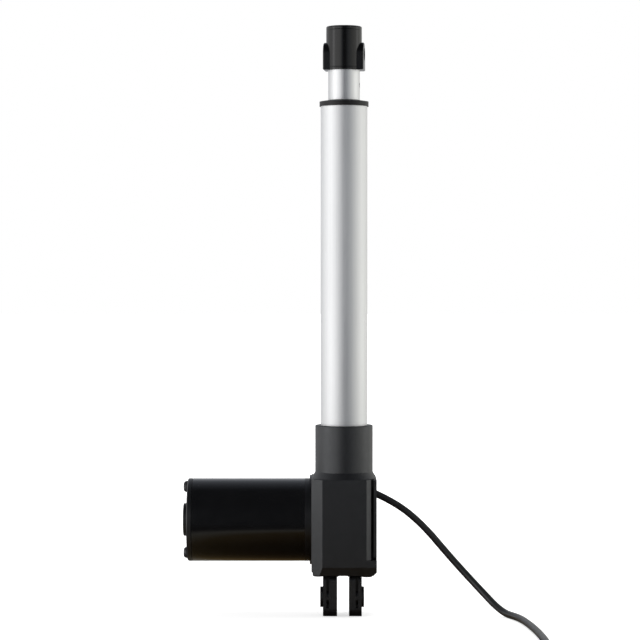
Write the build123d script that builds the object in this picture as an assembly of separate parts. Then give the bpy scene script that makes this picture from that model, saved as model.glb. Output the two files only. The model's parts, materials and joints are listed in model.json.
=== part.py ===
from build123d import *
import math
import os

# Electric linear actuator, upright, with its rod drawn in. Millimetres.
# The origin is the middle of the rear pin hole. Z runs up the rod, and the pin holes and the motor
# lie along X. The motor stands to the left, behind the spindle, and the front faces -Y.

# Travel and fastening
stroke = 150.0
pin_hole_r = 4.1

# Clearances
seat_gap = 0.02
running_gap = 0.06
sliding_gap = 0.08
free_gap = 0.3

# How far a cutting shape runs past the face that it cuts
cut_past = 1.0

# Outer tube, extension tube and their fittings
outer_tube_r = 15.0
outer_tube_wall = 2.0
tube_beyond_stroke = 82.3
rod_r = 10.2
rod_wall = 2.2
rod_shown = 19.6
cap_ring_r = 15.8
cap_ring_height = 3.6
cap_dome = 0.5
cap_skirt = 4.0
guide_bush_length = 20.0
wiper_r = 12.6
wiper_height = 2.0
wiper_lip = 0.8
wiper_proud = 0.5
nut_above_tube_foot = 20.0
piston_height = 14.0
nut_neck = 18.0

# Rod end
rod_end_r = 11.5
rod_end_above_pin = 17.9
rod_end_below_pin = 10.3
rod_end_half_width = 13.1
rod_end_boss_r = 7.6
rod_end_turn = -5.6
rod_end_spigot = 18.6
rod_end_edge = 0.9
rod_end_groove = 0.15
rod_end_groove_width = 0.4
rod_end_groove_high = 2.4
rod_end_groove_low = 1.8
roll_pin_slit = 0.6
roll_pin_r = 2.0
roll_pin_below_head = 9.6

# Gearbox, seen from above: the spindle stands at x = 0, y = 0
box_left = 21.0
box_right = 17.1
base_right = 20.8
box_front = 20.5
box_back = 31.0
left_chamfer = 7.0
right_chamfer = 2.9
back_corner_r = 4.0
cover_bottom = 15.7
cover_thickness = 6.0
base_height = 4.0
box_above_drive = 29.1
flare_height = 4.1
flare_r = 20.9
collar_r = 18.6
collar_length = 30.0
collar_edge = 0.4
tube_seat_depth = 27.0

# Worm drive
worm_module = 1.25
wheel_teeth = 22
worm_pitch_r = 6.5
pressure_angle = 20.0
dedendum = 1.25
backlash = 0.3
wheel_face = 10.0
worm_length = 20.0
thread_root_sunk = 0.3
wheel_above_bearing = 12.0
wheel_below_bush = 6.0
wheel_hub_r = 9.0
chamber_wall_gap = 0.5
worm_chamber_gap = 0.6

# Spindle and its bearings
screw_r = 6.0
screw_end_gap = 1.0
end_guide_height = 4.0
screw_stub_r = 4.0
bearing_r = 14.0
bearing_height = 8.0
bearing_above_split = 1.3
race_wall = 2.6
bearing_balls = 9
ball_r = 2.3
bearing_ring_wall = 1.4
bearing_ring_proud = 1.0
upper_bush_r = 7.5
upper_bush_length = 12.0
upper_bush_flange_r = 10.0
upper_bush_flange = 1.5
circlip_r = 7.6
circlip_height = 1.0
circlip_seat = 0.8
pocket_r = 9.0
pocket_depth = 3.0

# Rear clevis. Its slot stands a little to the left, as its prongs differ in thickness.
slot_middle = -0.6
slot_width = 7.8
left_prong = 9.1
right_prong = 8.1
left_boss = 1.8
right_boss = 1.5
clevis_boss_r = 6.6
prong_depth = 16.0
prong_reach = 12.2
prong_corner_r = 5.3
slot_root_r = 1.8
core_width = 1.7
core_depth = 3.0
core_outer_wall = 2.2
core_top = 13.4
core_split = 1.1
core_foot = -6.4
cover_front_bevel = 2.0
cover_bevel_height = 5.5
cover_left_bevel = 2.2

# Housing screws
screw_hole_r = 1.65
screw_shank_r = 1.6
screw_head_r = 3.8
screw_head_height = 2.4
screw_head_dome = 1.05
screw_head_sunk = 1.4
screw_bite = 12.0
screw_tip_gap = 1.0
screw_left = -16.5
screw_right = 14.4
screw_front_left = -11.5
screw_front_right = -14.5
screw_back = 25.5

# Side cover on the right, held off from the box by a groove
side_groove = 1.8
side_plate = 1.9
side_inset = 5.0
side_margin = 0.3
side_front = 17.0
side_edge_r = 2.0
side_screw_r = 1.25
side_screw_head_r = 2.4
side_screw_head = 1.1
side_screw_play = 0.2
side_screw_length = 8.0
side_screw_in = 10.0
side_screw_down = 9.0
side_screw_back = 7.0
side_screw_up = 12.0
wiring_pocket_depth = 8.0
wiring_pocket_width = 11.0
wiring_pocket_height = 14.6
wiring_pocket_wall = 1.8

# Motor, whose axis lies along X behind the spindle
motor_r = 27.0
motor_wall = 1.8
winding_to_commutator = 1.0
commutator_to_holder = 0.5
holder_to_flange = 2.5
flange_spigot = 3.0
motor_flange_r = 29.2
motor_rim = 1.2
motor_collar = 3.1
hub_r = 12.0
hub_depth = 6.0
mount_disc = 3.5
rib_thickness = 3.0
rib_reach = 14.0
rib_pitch = 15.0
rib_sunk = 1.0
end_cap_thickness = 2.9
end_cap_edge = 0.5
end_cap_spigot = 4.0
end_cap_spigot_wall = 3.0
end_boss_r = 10.9
end_boss = 1.3
tie_screw_inset = 1.7
tie_shank_r = 1.9
tie_head_r = 3.45
tie_head_height = 2.3
tie_head_dome = 0.9
tie_head_sunk = 1.0
motor_shaft_r = 2.5
end_bush_r = 4.5
end_bush_length = 3.8
worm_cavity_end = 11.5
motor_bush_r = 5.5
motor_bush_length = 6.0
magnet_inner_r = 16.8
magnet_length = 46.0
magnet_half_angle = 62.0
magnet_half_space = 4.0
core_r = 16.0
core_length = 40.0
core_slots = 10
core_slot_width = 3.0
core_slot_depth = 6.5
core_hub_r = 6.5
winding_overhang = 6.0
winding_gap = 0.15
winding_sunk = 1.2
magnet_start = 8.3
commutator_r = 7.0
commutator_length = 9.0
commutator_cut = 0.6
commutator_cut_depth = 1.0
brush_width = 5.0
brush_length = 9.0
brush_holder_thickness = 2.0
brush_holder_bore_r = 8.5
brush_guide_wall = 1.2

# Limit switches on a strip between the two tubes
strip_width = 7.0
strip_thickness = 0.8
strip_inner = 11.6
strip_seat = 3.5
strip_notch = 2.0
switch_width = 4.0
switch_length = 6.0
switch_height = 1.1
key_floor = 10.2

# Cable, plug and gland
cable_d = 4.6
cable_slope = 24.0
bend_share = 0.45
gland_r = 3.9
gland_flange_r = 4.9
gland_flange = 1.2
gland_length = 7.4
first_run = 15.5
coil_middle_r = 24.5
coil_turns_wide = 2
coil_turns_high = 2
coil_run_in = 11.0
coil_roundness = 0.4
plug_bite = 1.0
plug_length = 20.0
plug_width = 10.4
plug_height = 6.6
plug_boot = 9.0
plug_wall = 1.3
plug_edge = 0.8
boot_wall = 0.5
contact_width = 1.2
contact_length = 6.0
contact_recess = 1.0
contact_pitch = 4.2

# Places that follow from the sizes above
split_height = cover_bottom + cover_thickness
base_top = split_height + base_height
bearing_floor = split_height + bearing_above_split
bearing_top = bearing_floor + bearing_height
bearing_ring_top = bearing_top + bearing_ring_proud
pocket_floor = bearing_floor - pocket_depth
drive_height = bearing_top + wheel_above_bearing + wheel_face / 2
chamber_top = drive_height + wheel_face / 2 + wheel_below_bush
box_top = drive_height + box_above_drive
collar_bottom = box_top + flare_height
collar_top = collar_bottom + collar_length
tube_bottom = collar_top - tube_seat_depth
tube_top = tube_bottom + tube_beyond_stroke + stroke
tube_bore_r = outer_tube_r - outer_tube_wall
rod_bore_r = rod_r - rod_wall
cap_top = tube_top + cap_ring_height
bush_top = tube_top - cap_skirt
bush_bottom = bush_top - guide_bush_length
nut_bottom = tube_bottom + nut_above_tube_foot
rod_bottom = nut_bottom + piston_height
nut_top = rod_bottom + nut_neck
rod_top = cap_top + rod_shown
pin_to_pin = rod_top + rod_end_below_pin
end_guide_bottom = nut_top + stroke + screw_end_gap
screw_top = end_guide_bottom + end_guide_height + screw_end_gap
thread_pitch = math.pi * worm_module
wheel_pitch_r = worm_module * wheel_teeth / 2
wheel_tip_r = wheel_pitch_r + worm_module
worm_tip_r = worm_pitch_r + worm_module
worm_root_r = worm_pitch_r - dedendum * worm_module
chamber_r = wheel_tip_r + chamber_wall_gap
tie_screw_radius = motor_r - motor_wall - tie_shank_r - tie_screw_inset
motor_y = wheel_pitch_r + worm_pitch_r
motor_z = drive_height
mount_disc_r = drive_height - split_height - free_gap / 2
prong_bottom = -prong_reach
slot_left = slot_middle - slot_width / 2
slot_right = slot_middle + slot_width / 2
left_prong_face = slot_left - left_prong
right_prong_face = slot_right + right_prong
rim_end = -box_left
can_end = rim_end - motor_rim - motor_collar
flange_back = can_end - flange_spigot
holder_right = flange_back - holder_to_flange
holder_left = holder_right - brush_holder_thickness
commutator_right = holder_left - commutator_to_holder
commutator_left = commutator_right - commutator_length
core_right = commutator_left - winding_to_commutator - winding_overhang
core_left = core_right - core_length
magnet_left = core_left - (magnet_length - core_length) / 2
can_start = magnet_left - magnet_start
cap_face = can_start - end_cap_thickness
boss_face = cap_face - end_boss
side_face = box_right + side_groove + side_plate
gland_y = 22.0
gland_face = (19.9, gland_y, 65.3)
floor_z = prong_bottom
cable_rest_z = floor_z + cable_d / 2
strip_bottom = tube_bottom - strip_seat
strip_top = bush_bottom + strip_notch - free_gap

BASE = (Align.CENTER, Align.CENTER, Align.MIN)


def upright(radius, bottom, top, bore_r=0.0):
    """A round piece or ring about the spindle axis, between two heights."""
    solid = Pos(0, 0, bottom) * Cylinder(radius, top - bottom, align=BASE)
    if bore_r > 0:
        solid -= Pos(0, 0, bottom) * Cylinder(bore_r, top - bottom, align=BASE)
    return solid


def lying(radius, left, right, y=0.0, z=0.0, bore_r=0.0):
    """A round piece or ring along X, between two places."""
    turned = Pos(left, y, z) * Rot(0, 90, 0)
    solid = turned * Cylinder(radius, right - left, align=BASE)
    if bore_r > 0:
        solid -= turned * Cylinder(bore_r, right - left, align=BASE)
    return solid


def on_motor_axis(radius, left, right, bore_r=0.0):
    """A round piece or ring about the motor axis."""
    return lying(radius, left, right, motor_y, motor_z, bore_r)


def on_axis(solid, degrees):
    """A solid made about the origin, turned about X and moved to the motor axis."""
    return Pos(0, motor_y, motor_z) * Rot(degrees, 0, 0) * solid


def slab(x, y, z):
    """A box between two places along each axis."""
    size = Box(x[1] - x[0], y[1] - y[0], z[1] - z[0])
    return Pos(sum(x) / 2, sum(y) / 2, sum(z) / 2) * size


def turned_profile(points):
    """A solid turned about Z from (radius, height) corners."""
    with BuildSketch(Plane.XZ) as profile:
        with BuildLine():
            Polyline(*points, close=True)
        make_face()
    return revolve(profile.sketch, Axis.Z)


def as_rod_end(solid):
    """A solid made with the rod end's pin along X, turned about the rod as the rod end is."""
    return Rot(0, 0, rod_end_turn) * solid


def group(solids):
    """Several separate solids that share one node."""
    return Compound(children=list(solids))


# Plan outlines of the gearbox

def box_plan(right, chamfered_right):
    """The outline of the box from above, with its wide left chamfer."""
    corners = [(-box_left, box_back), (-box_left, -box_front + left_chamfer)]
    corners += [(-box_left + left_chamfer, -box_front)]
    if chamfered_right:
        corners += [(right - right_chamfer, -box_front), (right, -box_front + right_chamfer)]
    else:
        corners += [(right, -box_front)]
    corners += [(right, box_back)]
    with BuildSketch() as plan:
        with BuildLine():
            Polyline(*corners, close=True)
        make_face()
        fillet(plan.vertices().group_by(Axis.Y)[-1], back_corner_r)
    return plan.sketch


def screw_places():
    """Where the four housing screws stand."""
    front = [(screw_left, screw_front_left), (screw_right, screw_front_right)]
    return front + [(screw_left, screw_back), (screw_right, screw_back)]


# Gear housing

def collar_and_flare():
    """The round collar that holds the outer tube, and its flare into the box."""
    profile = [(0, box_top), (flare_r, box_top), (collar_r, collar_bottom)]
    profile += [(collar_r, collar_top), (0, collar_top)]
    solid = turned_profile(profile)
    rim = solid.edges().filter_by(GeomType.CIRCLE).sort_by(Axis.Z)[-1]
    return chamfer(rim, collar_edge)


def motor_seat():
    """The disc that the motor is screwed to, and the ribs that carry it behind the box."""
    solid = on_motor_axis(mount_disc_r, -box_left, -box_left + mount_disc)
    tip = motor_y + rib_reach + worm_tip_r
    for step in (-1, 0, 1):
        level = motor_z + step * rib_pitch
        with BuildSketch(Plane.XY.offset(level - rib_thickness / 2)) as rib:
            with BuildLine():
                inner = -box_left + mount_disc / 2
                foot = box_back - rib_sunk
                Polyline((inner, foot), (inner, tip), (box_right - back_corner_r, foot), close=True)
            make_face()
        solid += extrude(rib.sketch, rib_thickness)
    return solid


def housing_cavities():
    """Everything that is hollow in the gear housing."""
    cut = upright(chamber_r, split_height, chamber_top)
    cut += on_motor_axis(worm_tip_r + worm_chamber_gap, -box_left, worm_cavity_end)
    cut += on_motor_axis(end_bush_r + seat_gap, worm_cavity_end, worm_cavity_end + end_bush_length)
    cut += on_motor_axis(hub_r + seat_gap, -box_left, -box_left + hub_depth + free_gap)
    cut += upright(upper_bush_r + seat_gap, chamber_top, tube_bottom)
    cut += upright(outer_tube_r + seat_gap, tube_bottom, collar_top)
    half = strip_width / 2 + seat_gap
    reach = (strip_inner - seat_gap, strip_inner + strip_thickness + seat_gap)
    cut += slab((-half, half), reach, (strip_bottom, tube_bottom))
    pocket_top = box_top - wiring_pocket_wall
    pocket_side = wiring_pocket_width / 2
    pocket_y = (gland_y - pocket_side, gland_y + pocket_side)
    cut += slab((box_right - wiring_pocket_depth, box_right), pocket_y,
                (pocket_top - wiring_pocket_height, pocket_top))
    for x, y in screw_places():
        cut += Pos(x, y, split_height) * Cylinder(screw_hole_r, screw_bite + screw_tip_gap, align=BASE)
    for y, z in side_screw_places():
        cut += lying(side_screw_r, box_right - side_screw_length, box_right, y, z)
    return cut


def gear_housing():
    """The upper moulding: box, base band, flare, collar and motor seat."""
    solid = Pos(0, 0, split_height) * extrude(box_plan(box_right, True), box_top - split_height)
    solid += Pos(0, 0, split_height) * extrude(box_plan(base_right, False), base_height)
    solid += motor_seat()
    solid += collar_and_flare()
    return solid - housing_cavities()


# Rear cover with the clevis

def prong(inner, outer):
    """One prong from the side: a rounded plate, cored from the front and the back."""
    left, right = min(inner, outer), max(inner, outer)
    with BuildSketch(Plane.YZ.offset(left)) as side:
        with Locations((0, (cover_bottom + prong_bottom) / 2)):
            Rectangle(prong_depth, cover_bottom - prong_bottom)
        fillet(side.vertices().group_by(Axis.Z)[0], prong_corner_r)
    solid = extrude(side.sketch, right - left)
    inward = math.copysign(1, inner - outer)
    core_x = sorted((outer + inward * core_outer_wall, outer + inward * (core_outer_wall + core_width)))
    for low, high in ((core_split, core_top), (core_foot, -core_split)):
        front = (-prong_depth / 2, -prong_depth / 2 + core_depth)
        back = (prong_depth / 2 - core_depth, prong_depth / 2)
        solid -= slab(core_x, front, (low, high))
        solid -= slab(core_x, back, (low, high))
    return solid


def slot_root():
    """The rounded corners between the prongs and the cover plate."""
    with BuildSketch(Plane.XZ.offset(-prong_depth / 2)) as face:
        for edge, side in ((slot_left, 1), (slot_right, -1)):
            with BuildLine():
                foot = (edge, cover_bottom - slot_root_r)
                top = (edge + side * slot_root_r, cover_bottom)
                Line(foot, (edge, cover_bottom))
                Line((edge, cover_bottom), top)
                RadiusArc(top, foot, side * slot_root_r)
            make_face()
    return extrude(face.sketch, prong_depth)


def rear_clevis():
    """The rear cover: base plate, bearing ring and the two prongs."""
    plate = Pos(0, 0, cover_bottom) * extrude(box_plan(base_right, False), cover_thickness)
    lower_edges = plate.edges().group_by(Axis.Z)[0]
    plate = chamfer(lower_edges.sort_by(Axis.Y)[0], length=cover_bevel_height, length2=cover_front_bevel)
    left_edge = plate.edges().group_by(Axis.Z)[0].sort_by(Axis.X)[0]
    plate = chamfer(left_edge, cover_left_bevel)
    ring_r = bearing_r + bearing_ring_wall
    solid = plate + upright(ring_r, split_height, bearing_ring_top)
    solid -= upright(bearing_r + seat_gap, bearing_floor, bearing_ring_top)
    solid -= upright(pocket_r, pocket_floor, bearing_floor)
    solid += prong(slot_left, left_prong_face)
    solid += prong(slot_right, right_prong_face)
    solid += lying(clevis_boss_r, left_prong_face - left_boss, slot_left)
    solid += lying(clevis_boss_r, slot_right, right_prong_face + right_boss)
    solid += slot_root()
    solid -= lying(pin_hole_r, left_prong_face - left_boss, right_prong_face + right_boss)
    for x, y in screw_places():
        solid -= Pos(x, y, cover_bottom) * Cylinder(screw_hole_r + free_gap, cover_thickness, align=BASE)
        solid -= Pos(x, y, cover_bottom) * Cylinder(screw_head_r + free_gap, screw_head_sunk, align=BASE)
    return solid


def housing_screws():
    """Four domed screws that hold the rear cover from below."""
    screws = []
    for x, y in screw_places():
        seat = cover_bottom + screw_head_sunk
        head = Pos(x, y, seat - screw_head_height) * Cylinder(screw_head_r, screw_head_height, align=BASE)
        head = fillet(head.edges().sort_by(Axis.Z)[0], screw_head_dome)
        shank_length = split_height + screw_bite - seat
        screws.append(head + Pos(x, y, seat) * Cylinder(screw_shank_r, shank_length, align=BASE))
    return group(screws)


# Side cover

def side_screw_places():
    """Where the two side cover screws stand, as (y, z)."""
    upper = (-box_front + side_screw_in, box_top - side_screw_down)
    lower = (box_back - side_screw_back, base_top + side_screw_up)
    return [upper, lower]


def side_cover():
    """The plate on the right of the box, with the boss that holds it off and its cable hole."""
    low, high = base_top + side_margin, box_top - side_margin
    front, back = -side_front, box_back - side_edge_r
    plate = slab((box_right + side_groove, side_face), (front, back), (low, high))
    plate = fillet(plate.edges().filter_by(Axis.X), side_edge_r)
    boss = slab((box_right, box_right + side_groove), (front + side_inset, back - side_inset),
                (low + side_inset, high - side_inset))
    solid = plate + boss
    solid -= gland_round(gland_r + seat_gap, gland_length + 2 * cut_past, 2 * cut_past)
    for y, z in side_screw_places():
        solid -= lying(side_screw_r + side_screw_play, box_right, side_face, y, z)
        solid -= lying(side_screw_head_r + seat_gap, side_face - side_screw_head, side_face, y, z)
    return solid


def side_cover_screws():
    """Two flush screws in the side cover."""
    screws = []
    for y, z in side_screw_places():
        head = lying(side_screw_head_r, side_face - side_screw_head, side_face, y, z)
        start = box_right - side_screw_length + screw_tip_gap
        shank = lying(side_screw_r - seat_gap, start, side_face - side_screw_head, y, z)
        screws.append(head + shank)
    return group(screws)


# Cable gland, along the sloping direction in which the cable leaves

def gland_round(radius, length, beyond):
    """A round piece along the cable's exit line, from inside the box to a point beyond the gland face."""
    turned = Pos(*gland_face) * Rot(0, 90 + cable_slope, 0)
    return turned * Pos(0, 0, beyond - length) * Cylinder(radius, length, align=BASE)


def cable_gland():
    """The rubber grommet round the cable in the side cover, with its flange in the wiring pocket."""
    flange = gland_round(gland_flange_r, gland_flange, gland_flange - gland_length)
    return gland_round(gland_r, gland_length, 0) + flange


# Tubes

def outer_tube():
    """The plain aluminium tube."""
    return upright(outer_tube_r, tube_bottom, tube_top, tube_bore_r)


def tube_end_cap():
    """The thin ring on the tube's end, with the skirt that holds it and the recess for the wiper."""
    recess = cap_top - wiper_height
    hole_r = rod_r + free_gap
    profile = [(hole_r, bush_top), (tube_bore_r - seat_gap, bush_top), (tube_bore_r - seat_gap, tube_top)]
    profile += [(cap_ring_r, tube_top), (cap_ring_r, cap_top - cap_dome), (wiper_r, cap_top)]
    profile += [(wiper_r, recess), (hole_r, recess)]
    return turned_profile(profile)


def rod_wiper():
    """The lip that wipes the rod. Its inner edge stands a running gap off the rod."""
    outer = wiper_r - seat_gap
    lip_r = rod_r + sliding_gap
    foot = cap_top - wiper_height
    back = lip_r + wiper_lip
    profile = [(back, foot), (outer, foot), (outer, cap_top), (back, cap_top)]
    profile += [(lip_r, cap_top + wiper_proud), (lip_r, cap_top - wiper_proud)]
    return turned_profile(profile)


def guide_bush():
    """The bush that guides the rod at the top of the outer tube."""
    solid = upright(tube_bore_r - seat_gap, bush_bottom, bush_top, rod_r + sliding_gap)
    half = strip_width / 2 + free_gap
    reach = (strip_inner - free_gap, tube_bore_r)
    return solid - slab((-half, half), reach, (bush_bottom, bush_bottom + strip_notch))


def extension_tube():
    """The aluminium tube that carries the rod end, drilled for its pin."""
    solid = upright(rod_r, rod_bottom, rod_top, rod_bore_r)
    level = rod_top - roll_pin_below_head
    return as_rod_end(solid - lying(roll_pin_r + seat_gap, -rod_r, rod_r, 0, level))


def spindle_nut():
    """The nut: a piston in the outer tube, keyed to the switch strip, with a neck in the rod."""
    solid = upright(tube_bore_r - sliding_gap, nut_bottom, rod_bottom)
    solid += upright(rod_bore_r - seat_gap, rod_bottom, nut_top)
    solid -= upright(screw_r + sliding_gap, nut_bottom, nut_top)
    half = strip_width / 2 + free_gap
    return solid - slab((-half, half), (key_floor, tube_bore_r), (nut_bottom, rod_bottom))


# Rod end

def rod_end():
    """The eye: a round head with a flat arched boss each side, cross drilled, on a spigot in the rod."""
    top = pin_to_pin + rod_end_above_pin
    spigot_r = rod_bore_r - seat_gap
    foot = rod_top - rod_end_spigot
    profile = [(0, foot), (spigot_r, foot), (spigot_r, rod_top), (rod_end_r, rod_top)]
    for middle in (rod_top + rod_end_groove_low, top - rod_end_groove_high):
        half = rod_end_groove_width / 2
        profile += [(rod_end_r, middle - half), (rod_end_r - rod_end_groove, middle)]
        profile += [(rod_end_r, middle + half)]
    profile += [(rod_end_r, top), (0, top)]
    head = turned_profile(profile)
    head = fillet(head.edges().filter_by(GeomType.CIRCLE).sort_by(Axis.Z)[-1], rod_end_edge)
    bosses = lying(rod_end_boss_r, -rod_end_half_width, rod_end_half_width, 0, pin_to_pin)
    side = (-rod_end_half_width, rod_end_half_width)
    bosses += slab(side, (-rod_end_boss_r, rod_end_boss_r), (rod_top, pin_to_pin))
    outer = bosses.faces().filter_by(Axis.X).edges()
    bosses = fillet(outer, rod_end_edge)
    bosses &= slab(side, (-rod_end_r, rod_end_r), (rod_top, top))
    solid = head + bosses
    solid -= lying(pin_hole_r, -rod_end_half_width, rod_end_half_width, 0, pin_to_pin)
    level = rod_top - roll_pin_below_head
    return as_rod_end(solid - lying(roll_pin_r + seat_gap, -rod_r, rod_r, 0, level))


def roll_pin():
    """The split pin through the rod and the spigot, flush with the rod."""
    level = rod_top - roll_pin_below_head
    reach = math.sqrt(rod_r**2 - roll_pin_r**2)
    solid = lying(roll_pin_r, -reach, reach, 0, level, roll_pin_r / 2)
    slit = roll_pin_slit / 2
    return as_rod_end(solid - slab((-reach, reach), (0, roll_pin_r), (level - slit, level + slit)))


# Worm drive

def involute(base_r, r):
    """The angle that an involute of base_r has swept where it reaches radius r."""
    rolled = math.sqrt((r / base_r) ** 2 - 1)
    return rolled - math.atan(rolled)


def polar(r, angle):
    return (r * math.cos(angle), r * math.sin(angle))


def wheel_section(turn):
    """The worm wheel's outline, turned by an angle, with one tooth towards the worm at no turn."""
    base_r = wheel_pitch_r * math.cos(math.radians(pressure_angle))
    root_r = wheel_pitch_r - dedendum * worm_module
    start_r = max(base_r, root_r)
    step = 2 * math.pi / wheel_teeth
    half_tooth = step / 4 - backlash / 4 / wheel_pitch_r + involute(base_r, wheel_pitch_r)
    radii = (start_r, (start_r + wheel_tip_r) / 2, wheel_tip_r)
    flank = [(r, half_tooth - involute(base_r, r)) for r in radii]
    with BuildSketch() as outline:
        with BuildLine():
            for tooth in range(wheel_teeth):
                middle = tooth * step + turn + math.pi / 2
                rising = [polar(r, middle - a) for r, a in flank]
                falling = [polar(r, middle + a) for r, a in reversed(flank)]
                foot = polar(root_r, middle - flank[0][1])
                far_foot = polar(root_r, middle + flank[0][1])
                next_foot = polar(root_r, middle + step - flank[0][1])
                Line(foot, rising[0])
                ThreePointArc(*rising)
                ThreePointArc(rising[2], polar(wheel_tip_r, middle), falling[0])
                ThreePointArc(*falling)
                Line(falling[2], far_foot)
                ThreePointArc(far_foot, polar(root_r, middle + step / 2), next_foot)
        make_face()
    return outline.sketch


def worm_wheel():
    """The helical wheel on the spindle. Its teeth lean by the worm's lead angle."""
    lead = worm_module / (2 * worm_pitch_r)
    lean = lead / wheel_pitch_r * wheel_face / 2
    low = Pos(0, 0, drive_height - wheel_face / 2) * wheel_section(-lean)
    high = Pos(0, 0, drive_height + wheel_face / 2) * wheel_section(lean)
    wheel = loft([low.face(), high.face()], ruled=True)
    wheel += upright(wheel_hub_r, bearing_top, chamber_top - upper_bush_flange - free_gap)
    return wheel - upright(screw_r + seat_gap, bearing_top, chamber_top)


def worm():
    """The right-hand worm, pressed on the motor shaft.

    After an odd number of turns the thread stands opposite its start at mid length. The last turn
    about X brings that thread away from the wheel, so a thread space faces the wheel's tooth.
    """
    depth = dedendum * worm_module + thread_root_sunk
    slope = math.tan(math.radians(pressure_angle))
    half_thread = thread_pitch / 4 - backlash / 4
    foot = half_thread + depth * slope
    crest = half_thread - worm_module * slope
    turns = 2 * math.ceil(worm_length / thread_pitch / 2) + 1
    height = turns * thread_pitch
    with BuildPart() as thread:
        with BuildLine() as path:
            Helix(thread_pitch, height, worm_pitch_r)
        start = path.line @ 0
        with BuildSketch(Plane(origin=start, x_dir=(1, 0, 0), z_dir=path.line % 0)):
            with BuildLine():
                Polyline((-depth, -foot), (worm_module, -crest), (worm_module, crest), (-depth, foot),
                         close=True)
            make_face()
        sweep(is_frenet=True)
    kept = Pos(0, 0, height / 2) * Cylinder(worm_tip_r + cut_past, worm_length)
    solid = Pos(0, 0, height / 2) * Cylinder(worm_root_r, worm_length)
    solid += thread.part & kept
    solid -= Pos(0, 0, height / 2) * Cylinder(motor_shaft_r + seat_gap, worm_length)
    along_x = Rot(0, 90, 0) * Pos(0, 0, -height / 2) * solid
    return on_axis(along_x, -90)


# Spindle

def lead_screw():
    """The spindle, whose thread is left plain, with a stub for the end guide."""
    solid = upright(screw_r, split_height, end_guide_bottom)
    solid += upright(screw_stub_r, end_guide_bottom, screw_top)
    return solid - upright(screw_r, bearing_floor - circlip_height, bearing_floor, screw_r - circlip_seat)


def spindle_circlip():
    """The ring that holds the bearing on the spindle."""
    low = bearing_floor - circlip_height
    solid = upright(circlip_r, low, bearing_floor, screw_r - circlip_seat + seat_gap)
    return solid - slab((0, circlip_r), (-screw_r / 4, screw_r / 4), (low, bearing_floor))


def spindle_end_guide():
    """The disc that centres the spindle's free end in the rod."""
    top = end_guide_bottom + end_guide_height
    return upright(rod_bore_r - free_gap, end_guide_bottom, top, screw_stub_r + seat_gap)


def bearing_race(inner, outer):
    """One race of the ball bearing, grooved for its balls."""
    middle = bearing_floor + bearing_height / 2
    path_r = (screw_r + bearing_r) / 2
    solid = upright(outer, bearing_floor, bearing_top, inner)
    groove = Pos(0, 0, middle) * Torus(path_r, ball_r + seat_gap)
    return solid - groove


def bearing_ball_set():
    """The balls, evenly spaced."""
    middle = bearing_floor + bearing_height / 2
    path_r = (screw_r + bearing_r) / 2
    balls = []
    for n in range(bearing_balls):
        x, y = polar(path_r, n * 2 * math.pi / bearing_balls)
        balls.append(Pos(x, y, middle) * Sphere(ball_r - running_gap))
    return group(balls)


def upper_bush():
    """The flanged bush above the wheel."""
    foot = chamber_top - upper_bush_flange
    top = chamber_top + upper_bush_length
    solid = upright(upper_bush_r, foot, top) + upright(upper_bush_flange_r, foot, chamber_top)
    return solid - upright(screw_r + running_gap, foot, top)


# Motor

def motor_can():
    """The drawn steel drum."""
    return on_motor_axis(motor_r, can_start, can_end, motor_r - motor_wall)


def tie_screw_heights():
    """The heights of the two tie screws, above and below the motor axis."""
    return (motor_z - tie_screw_radius, motor_z + tie_screw_radius)


def motor_flange():
    """The front bracket: a rim, a collar, and a hub that centres the motor in the box."""
    solid = on_motor_axis(motor_flange_r, rim_end - motor_rim, rim_end)
    solid += on_motor_axis(motor_r, can_end, rim_end - motor_rim)
    solid += on_motor_axis(motor_r - motor_wall - seat_gap, flange_back, can_end)
    solid += on_motor_axis(hub_r, rim_end, rim_end + hub_depth)
    solid -= on_motor_axis(motor_bush_r + seat_gap, flange_back, flange_back + motor_bush_length)
    solid -= on_motor_axis(motor_shaft_r + free_gap, flange_back, rim_end + hub_depth)
    for z in tie_screw_heights():
        solid -= lying(tie_shank_r + seat_gap, flange_back, rim_end - motor_rim, motor_y, z)
    return solid


def motor_end_cap():
    """The rear plate with its round centre boss."""
    solid = on_motor_axis(motor_r - end_cap_edge, cap_face, can_start)
    solid = chamfer(solid.edges().sort_by(Axis.X)[0], end_cap_edge)
    solid += on_motor_axis(end_boss_r, boss_face, cap_face)
    solid += on_motor_axis(motor_r - motor_wall - seat_gap, can_start, can_start + end_cap_spigot)
    hollow_r = motor_r - motor_wall - end_cap_spigot_wall
    solid -= on_motor_axis(hollow_r, can_start, can_start + end_cap_spigot)
    solid += on_motor_axis(motor_bush_r + end_cap_spigot_wall / 2, can_start, can_start + end_cap_spigot)
    solid -= on_motor_axis(motor_bush_r + seat_gap, cap_face, can_start + end_cap_spigot)
    for z in tie_screw_heights():
        solid -= lying(tie_shank_r + seat_gap, cap_face, can_start + end_cap_spigot, motor_y, z)
        solid -= lying(tie_head_r + free_gap, cap_face, cap_face + tie_head_sunk, motor_y, z)
    return solid


def motor_tie_screws():
    """The two long screws that hold the motor together, with domed heads."""
    screws = []
    for z in tie_screw_heights():
        head_right = cap_face + tie_head_sunk
        head = lying(tie_head_r, head_right - tie_head_height, head_right, motor_y, z)
        head = fillet(head.edges().sort_by(Axis.X)[0], tie_head_dome)
        screws.append(head + lying(tie_shank_r, head_right, rim_end - motor_rim - free_gap, motor_y, z))
    return group(screws)


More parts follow.
